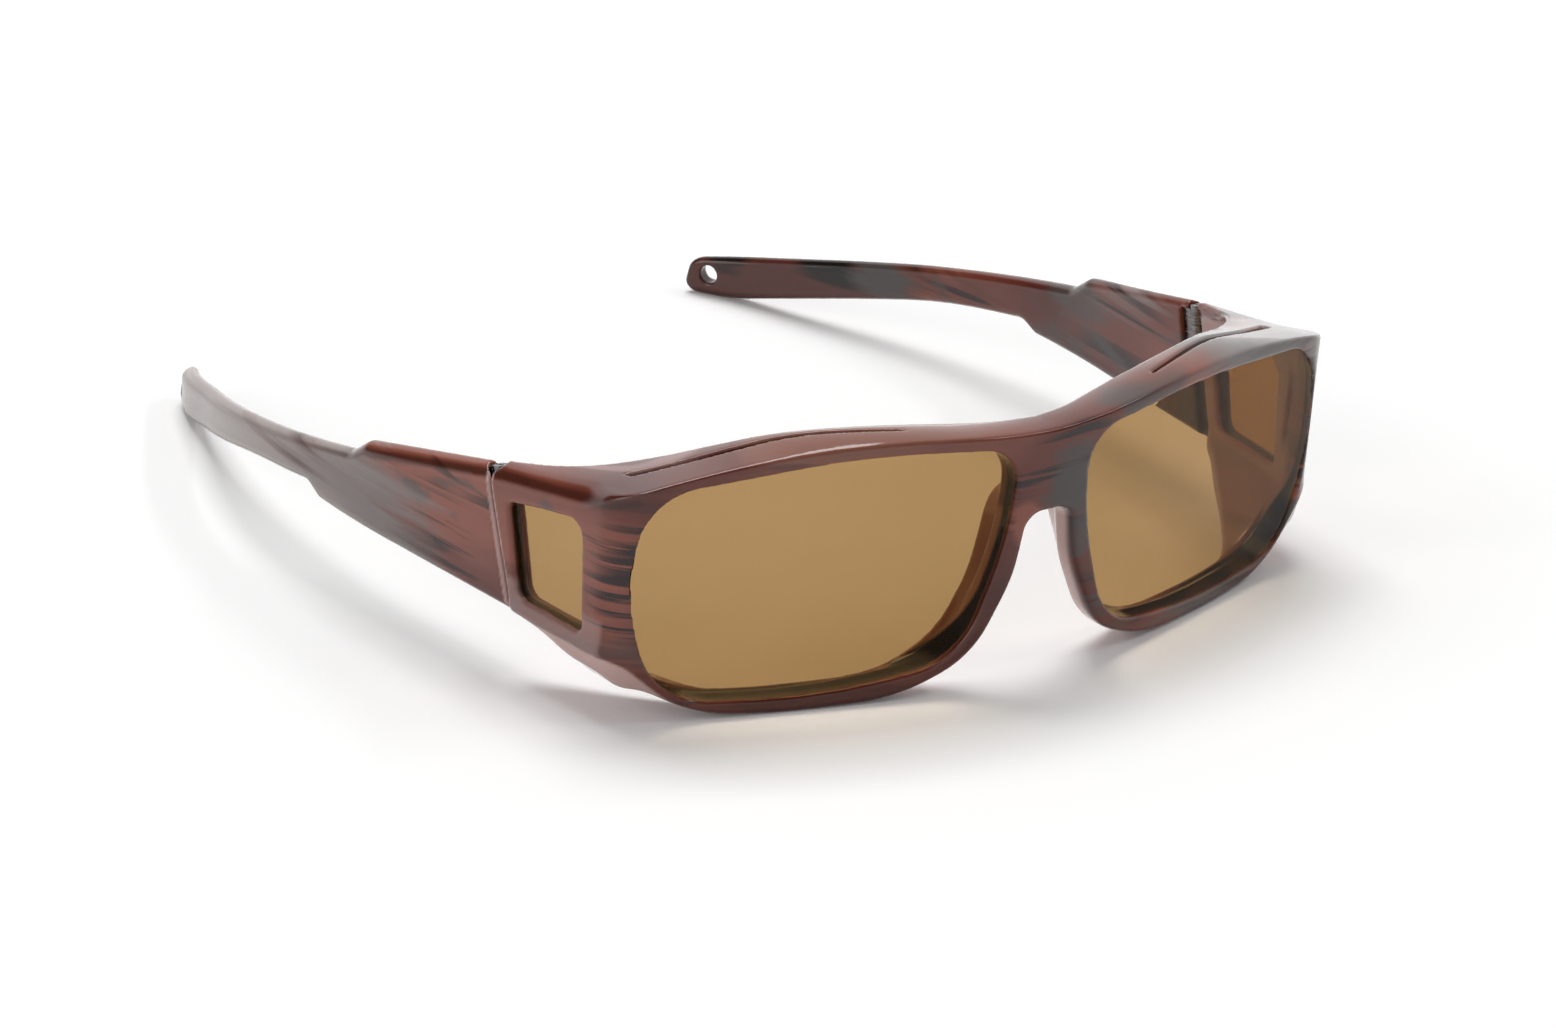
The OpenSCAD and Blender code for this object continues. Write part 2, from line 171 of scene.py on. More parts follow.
# Sizes that follow from those above
LENS_HIGH = RIM_LOW + LENS_H
CREST_Z = LENS_HIGH + RIM_TOP
MID_Z = CREST_Z / 2
LENS_IN = BRIDGE_W / 2
LENS_OUT = LENS_IN + LENS_W
HALF_W = LENS_OUT + RIM_SIDE
CREST_X = CREST_SHARE * HALF_W
SLIT_LEN = LENS_W - SLIT_SHORT
OPENING_D = 1.3 * RIM_D
LOW_Z = SIDE_LOW + TEMPLE_RAISED
ARM_Z = LOW_Z + ARM_RAISED


def wave(angle):
    """Cosine and sine of an angle in degrees"""
    return np.cos(np.radians(angle)), np.sin(np.radians(angle))


def face_y(x):
    """Depth of the wrapped front face at a distance from the middle"""
    return WRAP_SLOPE * (np.sqrt(x * x + WRAP_BEND * WRAP_BEND) - WRAP_BEND)


CORNER_Y = face_y(HALF_W)
HINGE_Y = CORNER_Y + SIDE_LEN
HINGE_X = HALF_W + SIDE_LEN * np.tan(np.radians(SPLAY)) - WALL + KNUCKLE_R
HINGE = np.array([HINGE_X, HINGE_Y, HINGE_Z])
TIP_Y = HINGE_Y + TEMPLE_LEN

# Grid spacing of the modelled surfaces; the lenses have their own
CELL = 0.42
LENS_CELL = 0.5
SIDE_LENS_CELL = 0.4

# Boxes that each shape is modelled in; that of the front holds its left half
FRONT_BOX = ((0, -3, -1.5), (77, 54, 49))
TEMPLE_BOX = ((40, 44, -1), (78, 178, 38))
LENS_BOX = ((4, -3, 0), (71, 25, 47))
SIDE_LENS_BOX = ((64, 22, 11), (77, 50, 37))

# Places clear of the whole part, where open outlines are closed, and a depth that no rounding reaches
SIDE_CLEAR = 80
AHEAD_CLEAR = -40
ABOVE_CLEAR = 90
DEEP = 9

# Smooth steps of the front's shape: where each starts, and its length
TOP_ROUNDING_STEP = (CORNER_Y - 1, 11)
WALL_STEP = (CORNER_Y, 4)
LOW_ROUNDING_STEP = (60, 9)
NOSE_END = (LENS_IN / 2, LENS_IN)
HANG_START = (12, 12)
HANG_END = (30, 16)
HANG_OUTWARD = (61, 7)
FLANK_TOP = (NOTCH_H - 12, 12)
FLANK_END = (LENS_IN + 6, 12)
LEAN_START = (3, 8)
LEAN_END = (50, 12)
FLANGE_FILLET_STEP = (56, 8)

# The same for the upper edge of the temples
CREST_STEP = (12, 30)


# Small tools for rounded shapes, which are distances that are negative inside
def blend(a, b, t):
    return a + (b - a) * t


def ease(t):
    t = np.clip(t, 0, 1)
    return t * t * (3 - 2 * t)


def rise(at, start, length):
    """A smooth step from 0 at the start to 1 a length further on"""
    return ease((at - start) / length)


def fall(at, start, length):
    """A smooth step from 1 at the start to 0 a length further on"""
    return 1 - rise(at, start, length)


def meet(a, b, radius):
    """What lies in both shapes, with the edge between them rounded"""
    rounded = np.hypot(np.maximum(a + radius, 0), np.maximum(b + radius, 0))
    return np.minimum(np.maximum(a, b), -radius) + rounded


def join(a, b, radius):
    """Both shapes as one, with a fillet between them"""
    return -meet(-a, -b, radius)


def cut(a, b, radius):
    """The first shape without the second, with the new edge rounded"""
    return meet(a, -b, radius)


def curve(at, xs, ys):
    """A smooth curve through given points, level beyond its ends"""
    xs, ys = np.array(xs, float), np.array(ys, float)
    slope = np.gradient(ys, xs)
    x = np.clip(at, xs[0], xs[-1])
    i = np.clip(np.searchsorted(xs, x) - 1, 0, len(xs) - 2)
    h = xs[i + 1] - xs[i]
    t = (x - xs[i]) / h
    start = ys[i] * (1 + 2 * t) + h * slope[i] * t
    end = ys[i + 1] * (3 - 2 * t) - h * slope[i + 1] * (1 - t)
    return start * (1 - t) ** 2 + end * t * t


# Rounded corners: the most of a side that an arc takes, its step in degrees, and its fewest steps
ARC_SHARE = 0.49
ARC_STEP = 3
ARC_LEAST = 3


def fillet(a, b, c, radius):
    """Points of the arc that replaces the corner b between a and c"""
    u, v = (a - b) / np.linalg.norm(a - b), (c - b) / np.linalg.norm(c - b)
    half = np.arccos(np.clip(u @ v, -1, 1)) / 2
    limit = ARC_SHARE * min(np.linalg.norm(a - b), np.linalg.norm(c - b))
    reach = min(radius / np.tan(half), limit)
    fit = reach * np.tan(half)
    centre = b + (u + v) / np.linalg.norm(u + v) * fit / np.sin(half)
    p, q = b + u * reach - centre, b + v * reach - centre
    start = np.arctan2(p[1], p[0])
    turn = (np.arctan2(q[1], q[0]) - start + 3 * np.pi) % (2 * np.pi) - np.pi
    steps = max(ARC_LEAST, int(abs(np.degrees(turn)) / ARC_STEP))
    angles = start + turn * np.linspace(0, 1, steps + 1)
    return centre + fit * np.stack([np.cos(angles), np.sin(angles)], axis=1)


def outline(corners):
    """A closed line through corners (u, v, radius), each corner rounded"""
    points = np.array([c[:2] for c in corners], float)
    parts = []
    for i, (_, _, radius) in enumerate(corners):
        if radius:
            parts.append(fillet(points[i - 1], points[i], points[(i + 1) % len(points)], radius))
        else:
            parts.append(points[i : i + 1])
    return np.concatenate(parts)


# The square of a length below which two points of a line are one
SAME_POINT = 1e-12


def distance(line, u, v):
    """Signed distance from a closed line, negative inside it"""
    u, v = np.broadcast_arrays(u, v)
    nearest = np.full(u.shape, np.inf)
    inside = np.zeros(u.shape, bool)
    for (au, av), (bu, bv) in zip(line, np.roll(line, -1, axis=0)):
        du, dv = bu - au, bv - av
        length2 = du * du + dv * dv
        if length2 < SAME_POINT:
            continue
        t = np.clip(((u - au) * du + (v - av) * dv) / length2, 0, 1)
        nearest = np.minimum(nearest, np.hypot(u - au - t * du, v - av - t * dv))
        if dv:
            inside ^= ((av > v) != (bv > v)) & (u < au + (v - av) * du / dv)
    return np.where(inside, -nearest, nearest)


# Outlines of the front, as corners with their roundings
def lens_outline():
    """A lens opening seen from ahead, bowed a little on every side"""
    low, high, left, right = RIM_LOW, LENS_HIGH, LENS_IN, LENS_OUT
    return outline([
        (left - 0.4, high - 1.8, 7),
        (left + 0.42 * LENS_W, high + 0.6, 110),
        (right - 1.5, high - 3.8, 10),
        (right + 0.8, low + 0.46 * LENS_H, 50),
        (right - 5, low + 0.8, 17),
        (left + 0.5 * LENS_W, low - 0.3, 110),
        (left + 7.2, low + 3.2, 13),
        (left + 0.3, low + 0.58 * LENS_H, 60),
    ])


def lower_outline():
    """The front seen from ahead, open upward: the nose notch and the lower edge of the rims"""
    far = HALF_W + 15
    half = outline([
        (-20, NOTCH_H, 0),
        (LENS_IN - 3, NOTCH_H, 3.4),
        (LENS_IN - 1.4, 0.64 * NOTCH_H, 25),
        (LENS_IN + 4.9, 0.2 * NOTCH_H, 16),
        (LENS_IN + 17.5, 0.2, 35),
        (LENS_IN + 0.6 * LENS_W, -0.2, 90),
        (HALF_W - 13, 0.8, 20),
        (HALF_W - 1.6, SIDE_LOW - 0.6, 8),
        (far, SIDE_LOW - 0.2, 0),
    ])
    half = half[half[:, 0] >= 0] - [0, half[:, 1].min()]
    left = half[::-1] * [-1, 1]
    return np.concatenate([left, half, [[far, ABOVE_CLEAR], [-far, ABOVE_CLEAR]]])


def window_outline():
    """A window seen from its side; its rear edge slants"""
    low = SIDE_LOW + WINDOW_SILL
    top = low + WINDOW_H
    rear_top = HINGE_Y - WINDOW_POST
    rear_low = rear_top - (WINDOW_H - WINDOW_DROP) * np.tan(np.radians(WINDOW_SLANT))
    front = rear_low - WINDOW_W
    return outline([
        (front, low, 1.5),
        (front + 0.4, top, 3),
        (rear_top - 8, top - 0.5 * WINDOW_DROP, 20),
        (rear_top, top - WINDOW_DROP, 1.2),
        (rear_low, low + 0.5, 2.5),
    ])


# The upper surface of the front: plan and height of the shelf's rear edge, and how far it is crowned
SHELF_X = [0, 6, 14, 20, 26, 32, 38, 44, 50, 56, 60, 64, 67, 69.5]
SHELF_Y = [5.4, 6.4, 9.2, 10.9, 12.4, 14.2, 16.4, 19.6, 24.4, 29.0, 32.2, 36.2, 41.0, 49.0]
SHELF_Z = [44.2, 44.2, 44.3, 44.8, 45.3, 45.6, 45.6, 44.8, 42.7, 40.6, 39.4, 38.2, 37.1, 35.4]
CROWN_X = [0, 25, 45, 60, 69]
CROWN_H = [0.3, 0.9, 0.8, 0.3, 0]
SHELF_FROM = 1.7
SHELF_PAST = 1.15


def brow_z(x):
    """Height of the brow's front edge, which dips at the bridge and drops toward the corners"""
    d = x - CREST_X
    dip = BROW_DIP * ease(-d / CREST_X)
    drop = BROW_DROP * (np.maximum(d, 0) / (HALF_W - CREST_X)) ** 2
    return CREST_Z - dip - drop


def top_z(x, y):
    """Height of the upper surface, which is crowned between its front and rear edges"""
    front = face_y(x) - SHELF_FROM
    rear = curve(x, SHELF_X, SHELF_Y)
    share = np.clip((y - front) / (rear - front), 0, SHELF_PAST)
    crown = curve(x, CROWN_X, CROWN_H)
    edges = blend(brow_z(np.minimum(x, HALF_W)), curve(x, SHELF_X, SHELF_Z), share)
    return edges + 4 * crown * share * (1 - share)


def shelf_plan():
    """The shelf seen from above, open to the front"""
    x = np.linspace(-SIDE_CLEAR, SIDE_CLEAR, 2 * SIDE_CLEAR + 1)
    rear = np.stack([x, curve(np.abs(x), SHELF_X, SHELF_Y)], axis=1)
    return np.concatenate([rear, [[SIDE_CLEAR, AHEAD_CLEAR], [-SIDE_CLEAR, AHEAD_CLEAR]]])


# Distances from the faces of the front and from its hinges
def leaned(y, z):
    """Depth behind the bridge, square to the leaning front"""
    lean_c, lean_s = wave(FRONT_LEAN)
    return y * lean_c + (z - MID_Z) * lean_s


def behind_face(x, back):
    """Depth behind the wrapped front face, square to it"""
    slope = WRAP_SLOPE * x / np.sqrt(x * x + WRAP_BEND**2)
    return (back - face_y(x)) / np.hypot(1, slope)


def behind_wall(x, back):
    """Depth inward from the outer face of a side wall"""
    cs, ss = wave(SPLAY)
    return (HALF_W - x) * cs + (back - CORNER_Y) * ss


def hinge_space(x, y, z, lean):
    """Coordinates at the hinge: outward, back along the temple, and up along the axis"""
    cs, ss = wave(SPLAY)
    cl, sl = wave(lean)
    dx, dy, dz = x - HINGE[0], y - HINGE[1], z - HINGE[2]
    along = ss * dx + cs * dy
    return cs * dx - ss * dy, cl * along - sl * dz, sl * along + cl * dz


def past_seam(x, y, z):
    """Distance behind the middle of the seam between side wall and temple"""
    return hinge_space(x, y, z, SEAM_LEAN)[1] + SEAM_AHEAD


def hinge_recess(x, y, z, reach, swing_out):
    """Room around the knuckles, open toward the head, and the round room in which the corners swing"""
    out, along, up = hinge_space(x, y, z, HINGE_LEAN)
    pocket = np.maximum(out - KNUCKLE_R - KNUCKLE_ROOM, np.abs(along) - reach)
    pocket = np.maximum(pocket, np.abs(up) - HINGE_H / 2 - END_ROOM)
    hole = np.hypot(out, along) - SCREW_HOLE_R
    swing = np.maximum(np.hypot(out, along) - SWING_R, out - swing_out)
    return np.minimum(pocket, np.where(up > 0, hole, swing))


# The front
def rims_and_walls(x, y, z, outer, low):
    """Rims, bridge, brow shelf and side walls, before anything is cut through them"""
    top = top_z(x, y)
    top_r = blend(BROW_R, WALL_TOP_R, rise(y, *TOP_ROUNDING_STEP))
    solid = meet(outer, z - top, top_r)
    thick = blend(RIM_D, WALL, rise(leaned(y, z), *WALL_STEP))
    under = meet(top - SHELF_T - z, distance(shelf_plan(), x, y), SHELF_R)
    body = meet(solid, join(-outer - thick, under, SHELF_FILLET), BACK_R)
    return meet(body, low, blend(RIM_LOW_R, WALL_LOW_R, rise(x, *LOW_ROUNDING_STEP)))


def flanges(x, y, z, outer, low):
    """Nose flange and lower flange, which runs back under the side walls and hangs a little lower there"""
    back = leaned(y, z)
    nose = fall(x, *NOSE_END)
    run = np.clip(((x - LENS_IN) / LENS_W - RUN_FROM) / RUN_LENGTH, 0, 1) ** RUN_POWER
    rear = blend(face_y(x) + blend(FLANGE_D, NOSE_D, nose), HINGE_Y - FLANGE_FROM_SEAM, run)
    hang = FLANGE_HANG * rise(y, *HANG_START) * fall(y, *HANG_END) * rise(x, *HANG_OUTWARD)
    flank = fall(z, *FLANK_TOP) * fall(x, *FLANK_END)
    inward = blend(LEAN_IN, NOSE_LEAN_IN, flank) * rise(back - face_y(x), *LEAN_START)
    edge = low + inward * fall(x, *LEAN_END) + FLANGE_SET
    ring = np.maximum(edge - hang, -edge - FLANGE_T)
    steep = np.gradient(rear.ravel(), x.ravel()).reshape(rear.shape)
    flange = meet(ring, (back - rear) / np.hypot(1, steep), FLANGE_R)
    flange = np.maximum(flange, face_y(x) + FLANGE_BEHIND - back)
    flange = meet(flange, outer + FLANGE_INSIDE, FLANGE_OUTER_R)
    return np.maximum(flange, z - NOTCH_H - FLANGE_ABOVE)


def vent_slit(x, y, z):
    """A slit through the brow shelf, narrow at its inner end"""
    share = (x - LENS_IN - SLIT_FROM) / SLIT_LEN
    middle = face_y(x) + blend(*SLIT_BEHIND, share)
    width = SLIT_W / 2 * blend(SLIT_NARROWEST, 1, np.clip(share, 0, 1))
    across = np.abs(y - middle) * SLIT_ACROSS - width
    along = np.abs(share - 0.5) * SLIT_LEN * SLIT_ALONG - SLIT_HALF
    return np.maximum(meet(across, along, SLIT_END_R), MID_Z - z)


def front_shape(x, y, z):
    """The moulded front: rims, bridge, brow shelf, side walls and flanges"""
    x = np.abs(x)
    back = leaned(y, z)
    outer = meet(-behind_face(x, back), -behind_wall(x, back), CORNER_R)
    low = distance(lower_outline(), x, z)
    body = rims_and_walls(x, y, z, outer, low)
    flange_fillet = blend(RIM_FLANGE_FILLET, WALL_FLANGE_FILLET, rise(x, *FLANGE_FILLET_STEP))
    body = join(body, flanges(x, y, z, outer, low), flange_fillet)

    lens = np.maximum(distance(lens_outline(), x, z), behind_face(x, back) - OPENING_D)
    body = cut(body, lens, OPENING_R)
    window = np.maximum(distance(window_outline(), y, z), WINDOW_IN - x)
    body = cut(body, window, WINDOW_R)
    body = cut(body, vent_slit(x, y, z), SLIT_R)

    body = meet(body, past_seam(x, y, z) + SEAM_GAP / 2, SEAM_R)
    return cut(body, hinge_recess(x, y, z, *FRONT_RECESS), RECESS_R)


# Lenses
def lens_shape(x, y, z):
    """A front lens, with its edge inside the rim"""
    depth = behind_face(x, leaned(y, z))
    sheet = np.abs(depth - LENS_INSET - LENS_T / 2) - LENS_T / 2
    return meet(sheet, distance(lens_outline(), x, z) - LENS_GRIP, LENS_EDGE_R)


def side_lens_shape(x, y, z):
    """A side lens, with its edge inside the wall"""
    depth = behind_wall(x, leaned(y, z))
    sheet = np.abs(depth - WALL / 2) - LENS_T / 2
    return meet(sheet, distance(window_outline(), y, z) - LENS_GRIP, LENS_EDGE_R)


# Temples
def temple_outline():
    """Side view of a temple: a blade with a step on both edges, an arm, and a rest under the tip"""
    top = LOW_Z + TEMPLE_H
    ahead = 12
    step_y, arm_y = HINGE_Y + TOP_STEP, HINGE_Y + LOW_STEP
    arm_top = ARM_Z + ARM_H
    return outline([
        (HINGE_Y - ahead, LOW_Z - SEAM_DROP, 0),
        (HINGE_Y - ahead, top + ahead * BLADE_SLOPE, 0),
        (step_y - 1.4, top - (TOP_STEP - 1.4) * BLADE_SLOPE, 3),
        (step_y + 3, arm_top + (LOW_STEP - TOP_STEP - 3) * ARM_SLOPE, 4),
        (arm_y + 26, arm_top - 26 * ARM_SLOPE, 300),
        (TIP_Y - 1.2, TIP_H, 3),
        (TIP_Y, 0, 2.2),
        (TIP_Y - 8.5, 0, 30),
        (arm_y + 22, ARM_Z - 3.1, 150),
        (arm_y + 1, ARM_Z, 4),
        (arm_y - 2.6, LOW_Z, 3),
    ])


def along_temple(x, y):
    """Distance along a temple's middle line from the hinge, and outward from that line"""
    cs, ss = wave(SPLAY)
    start = np.array([HINGE_X - KNUCKLE_R + WALL / 2, HINGE_Y])
    dx, dy = x - start[0], y - start[1]
    along, out = ss * dx + cs * dy, cs * dx - ss * dy
    centre = start + STRAIGHT * np.array([ss, cs]) - BEND_R * np.array([cs, -ss])
    rx, ry = x - centre[0], y - centre[1]
    bent = STRAIGHT + BEND_R * (np.radians(SPLAY) - np.arctan2(-ry, rx))
    past = along > STRAIGHT
    return np.where(past, bent, along), np.where(past, np.hypot(rx, ry) - BEND_R, out)


def upper_half(side_view, along, z):
    """A temple's side view as far as its upper edge is concerned: its lower half counts as deep inside"""
    middle = LOW_Z + TEMPLE_H / 2 - along * BLADE_SLOPE
    return np.where(z > middle, side_view, -DEEP)


def temple_shape(x, y, z):
    """A temple, thinner and curving inward to its tip, with a broad rounding on its outer upper edge"""
    along, out = along_temple(x, y)
    taper = np.clip((along - STRAIGHT) / (TEMPLE_LEN + TAPER_PAST - STRAIGHT), 0, 1)
    half = blend(WALL, TIP_T, taper) / 2
    out = out - TIP_FLARE * rise(along, TEMPLE_LEN - FLARE_LEN, FLARE_LEN)
    side_view = distance(temple_outline(), y, z)
    body = meet(np.abs(out) - half, side_view, TEMPLE_EDGE_SHARE * half)
    crest_r = blend(BLADE_CREST_R, ARM_CREST_R, rise(along, *CREST_STEP))
    body = np.maximum(body, meet(out - half, upper_half(side_view, along, z), crest_r))
    body = meet(body, SEAM_GAP / 2 - past_seam(x, y, z), SEAM_R)
    body = cut(body, hinge_recess(x, y, z, *TEMPLE_RECESS), RECESS_R)
    hole = np.hypot(along - TEMPLE_LEN + HOLE_FROM_TIP, z - HOLE_HEIGHT) - HOLE_R
    return cut(body, hole, HOLE_EDGE_R)


# Meshes from shapes
def sample(grid, index):
    """Values of a grid between its points"""
    base = np.clip(np.floor(index).astype(int), 0, np.array(grid.shape) - 2)
    t = index - base
    total = 0
    for i in (0, 1):
        for j in (0, 1):
            for k in (0, 1):
                weight = (t[:, 0] if i else 1 - t[:, 0]) * (t[:, 1] if j else 1 - t[:, 1])
                weight = weight * (t[:, 2] if k else 1 - t[:, 2])
                total = total + weight * grid[base[:, 0] + i, base[:, 1] + j, base[:, 2] + k]
    return total


def surface(field):
    """Vertices, in grid steps, and four-sided faces of the zero surface of a sampled shape"""
    inside = field < 0
    cells = tuple(n - 1 for n in field.shape)

    def corner(array, i, j, k):
        return array[i : i + cells[0], j : j + cells[1], k : k + cells[2]]

    corners = [(i, j, k) for i in (0, 1) for j in (0, 1) for k in (0, 1)]
    count = sum(corner(inside, *c).astype(np.int8) for c in corners)
    crossed = (count > 0) & (count < len(corners))
    places = np.argwhere(crossed)
    number = np.full(cells, -1)
    number[crossed] = np.arange(len(places))

    total, hits = np.zeros((len(places), 3)), np.zeros(len(places))
    for a in corners:
        for axis in range(3):
            if a[axis]:
                continue
            b = tuple(1 if axis == n else a[n] for n in range(3))
            fa, fb = field[tuple((places + a).T)], field[tuple((places + b).T)]
            cross = (fa < 0) != (fb < 0)
            t = fa[cross] / (fa[cross] - fb[cross])
            total[cross] += np.array(a) + t[:, None] * np.eye(3)[axis]
            hits[cross] += 1
    vertices = places + total / hits[:, None]

    faces = []
    step = np.eye(3, dtype=int)
    for axis in range(3):
        u, v = (axis + 1) % 3, (axis + 2) % 3
        first = np.moveaxis(inside, axis, 0)
        change = np.argwhere(np.moveaxis(first[:-1] != first[1:], 0, axis))
        change = change[(change[:, u] > 0) & (change[:, v] > 0)]
        change = change[(change[:, u] < cells[u]) & (change[:, v] < cells[v])]
        ring = [change - step[u] - step[v], change - step[v], change, change - step[u]]
        quad = np.stack([number[tuple(r.T)] for r in ring], axis=1)
        solid_first = inside[tuple(change.T)]
        faces.append(np.where(solid_first[:, None], quad, quad[:, ::-1]))
    return vertices, np.concatenate(faces)


# How vertices move onto a surface: rounds, share of the way in each, and longest move in grid steps
REFINE_ROUNDS = 4
REFINE_SHARE = 0.8
REFINE_MOVE = 0.5
LEAST_SLOPE2 = 1e-3
LEAST_LENGTH = 1e-6


def refine(field, vertices):
    """Moves the vertices onto the shape's surface, and gives the surface's direction there"""
    slopes = [s.astype(np.float32) for s in np.gradient(field)]
    for _ in range(REFINE_ROUNDS):
        value = sample(field, vertices)
        slope = np.stack([sample(s, vertices) for s in slopes], axis=1)
        size = np.maximum((slope**2).sum(axis=1), LEAST_SLOPE2)
        move = np.clip(value / size, -REFINE_MOVE, REFINE_MOVE)
        vertices = vertices - move[:, None] * slope * REFINE_SHARE
    slope = np.stack([sample(s, vertices) for s in slopes], axis=1)
    return vertices, slope / np.maximum(np.linalg.norm(slope, axis=1), LEAST_LENGTH)[:, None]


def sampled(shape, box, cell):
    """A shape's values on a grid over a box"""
    axes = [np.arange(a, b + cell, cell) for a, b in zip(*box)]
    x, y, z = axes[0][:, None, None], axes[1][None, :, None], axes[2][None, None, :]
    return np.asarray(shape(x, y, z), np.float32)


def model(shape, box, cell=CELL):
    """Points, faces and normals of a shape within a box"""
    field = sampled(shape, box, cell)
    vertices, faces = surface(field)
    vertices, normals = refine(field, vertices)
    return np.array(box[0]) + vertices * cell, faces, normals


def front_parts():
    """The front is sampled on the wearer's left and mirrored, so that it is symmetric"""
    half = sampled(front_shape, FRONT_BOX, CELL)
    field = np.concatenate([half[:0:-1], half])
    vertices, faces = surface(field)
    vertices, normals = refine(field, vertices)
    _, low_y, low_z = FRONT_BOX[0]
    origin = np.array([-(len(half) - 1) * CELL, low_y, low_z])
    return origin + vertices * CELL, faces, normals


def make(name, points, faces, normals):
    """A mesh object from points in the plan frame, in millimetres"""
    mesh = bpy.data.meshes.new(name)
    placed = (points - [0, ORIGIN_Y, 0]) / MM_PER_M
    mesh.from_pydata(placed.tolist(), [], faces.tolist())
    mesh.polygons.foreach_set("use_smooth", [True] * len(mesh.polygons))
    mesh.normals_split_custom_set_from_vertices(normals.tolist())
    obj = bpy.data.objects.new(name, mesh)
    bpy.context.scene.collection.objects.link(obj)
    return obj


def pair(name, parts):
    """A piece on the wearer's left and its mirror image on the right"""
    points, faces, normals = parts
    flip = np.array([-1, 1, 1])
    left = make(name + "_left_look", points, faces, normals)
    right = make(name + "_right_look", points * flip, faces[:, ::-1], normals * flip)
    return left, right


# Marks on the meshes, from 0 to 1 at each vertex, which the plastic turns into colours of painted shade,
# painted highlights, a painted dark reflection and light painted through thinner plastic: their strengths
EDGE_MARK = 0.85
ARM_EDGE_MARK = 0.5
FLANGE_MARK = 0.35
INSIDE_MARK = 0.6
SEAM_MARK = 0.8

# Smooth steps of the marks: where each starts, and its length
EDGE_BELOW = (0.5, 0.8)
EDGE_END = (1.9, 0.8)
EDGE_DEPTH = (2.6, 0.8)
OPENING_LINE = (0.3, 0.5)
NOSE_BEHIND = (0.8, 1.6)
NOSE_FROM_EDGE = (-5, 1.5)
NOSE_MARK_END = (22, 6)
FOOT_START = (58, 6)
FOOT_FROM_EDGE = (-0.1, 0.5)
FLANGE_MARK_START = (2.6, 0.8)
FLANGE_FROM_EDGE = (-7, 2)
INSIDE_DEPTH = (WALL - 1, 0.8)
INSIDE_BEHIND = (RIM_D, 0.8)
INSIDE_OUTWARD = (30, 8)
INSIDE_BELOW = (1.6, 0.8)
LENS_WALL_START = (1.0, 0.6)
LENS_WALL_LOW = (5, 13)
WINDOW_WALL_START = (0.6, 0.4)
WINDOW_WALL_END = (2.6, 0.5)
ARM_START = (30, 12)

# Other sizes of the marks: the painted highlight band along a seam, how deep the painted shade reaches inside
# a lens opening, and where the sides begin
SEAM_BAND = 0.8
SEAM_SOFT = 0.4
LENS_WALL_DEPTHS = (2.8, 6.5)
LENS_WALL_SOFT = 0.6
SIDE_FROM = 60
ARM_LINE_SQUEEZE = 1.8


def mark(obj, name, values):
    """Stores a number per vertex, which a material reads by its name"""
    obj.data.attributes.new(name, "FLOAT", "POINT").data.foreach_set("value", values)


def plan_points(obj):
    """A piece's vertices in the plan frame, mirrored onto the wearer's left"""
    points = np.empty(len(obj.data.vertices) * 3)
    obj.data.vertices.foreach_get("co", points)
    x, y, z = (points.reshape(-1, 3) * MM_PER_M + [0, ORIGIN_Y, 0]).T
    return np.abs(x), y, z


def dark_reflection_line(below, depth):
    """How much a point belongs to the painted dark reflection along the outer upper edge"""
    return EDGE_MARK * rise(below, *EDGE_BELOW) * fall(below, *EDGE_END) * fall(depth, *EDGE_DEPTH)


def near_line(line, u, v):
    """1 for a point that lies on a line, such as on the inner wall of an opening"""
    return fall(np.abs(distance(line, u, v)), *OPENING_LINE)


def mark_front(front):
    """Marks light painted through the plastic where it is thinner or faces the head, a painted highlight at
    the seam, painted shade on the openings' inner walls and a painted dark reflection along the side walls'
    upper edge
    """
    x, y, z = plan_points(front)
    behind = leaned(y, z) - face_y(x)
    depth = behind_wall(x, y)
    low = distance(lower_outline(), x, z)
    opening = near_line(lens_outline(), x, z)
    window = near_line(window_outline(), y, z)
    top = top_z(x, y)

    # Painted backlight: paler where light would shine through thinner plastic, on the nose flange, the foot
    # under the side wall, the flanges and the side walls' inner faces
    nose = rise(behind, *NOSE_BEHIND) * rise(low, *NOSE_FROM_EDGE) * fall(x, *NOSE_MARK_END)
    foot = rise(x, *FOOT_START) * rise(low, *FOOT_FROM_EDGE)
    flange = np.maximum(opening, rise(low, *FLANGE_FROM_EDGE))
    flange = FLANGE_MARK * rise(behind, *FLANGE_MARK_START) * flange
    inside = INSIDE_MARK * rise(depth, *INSIDE_DEPTH) * rise(behind, *INSIDE_BEHIND)
    inside = inside * rise(x, *INSIDE_OUTWARD) * rise(top - z, *INSIDE_BELOW)
    # Painted highlight along the front's edge at the seam
    seam = SEAM_MARK * rise(past_seam(x, y, z), -SEAM_GAP / 2 - SEAM_BAND, SEAM_SOFT)
    mark(front, "thin_backlight_and_glint", np.clip(np.max([nose, foot, flange, inside, seam], axis=0), 0, 1))

    # Painted shade: near black on the inner walls of the lens openings and the windows, reaching deepest at
    # the bottom of a lens opening
    reach = blend(*LENS_WALL_DEPTHS, fall(z, *LENS_WALL_LOW))
    lens_wall_shade = opening * rise(behind, *LENS_WALL_START) * fall(behind, reach, LENS_WALL_SOFT)
    window_wall_shade = window * rise(depth, *WINDOW_WALL_START) * fall(depth, *WINDOW_WALL_END)
    window_wall_shade = window_wall_shade * (x > SIDE_FROM)
    mark(front, "painted_shade", np.clip(lens_wall_shade + window_wall_shade, 0, 1))
    # Painted dark reflection along the side walls' outer upper edge
    mark(front, "dark_reflection_line", dark_reflection_line(top - z, depth) * (x > SIDE_FROM))


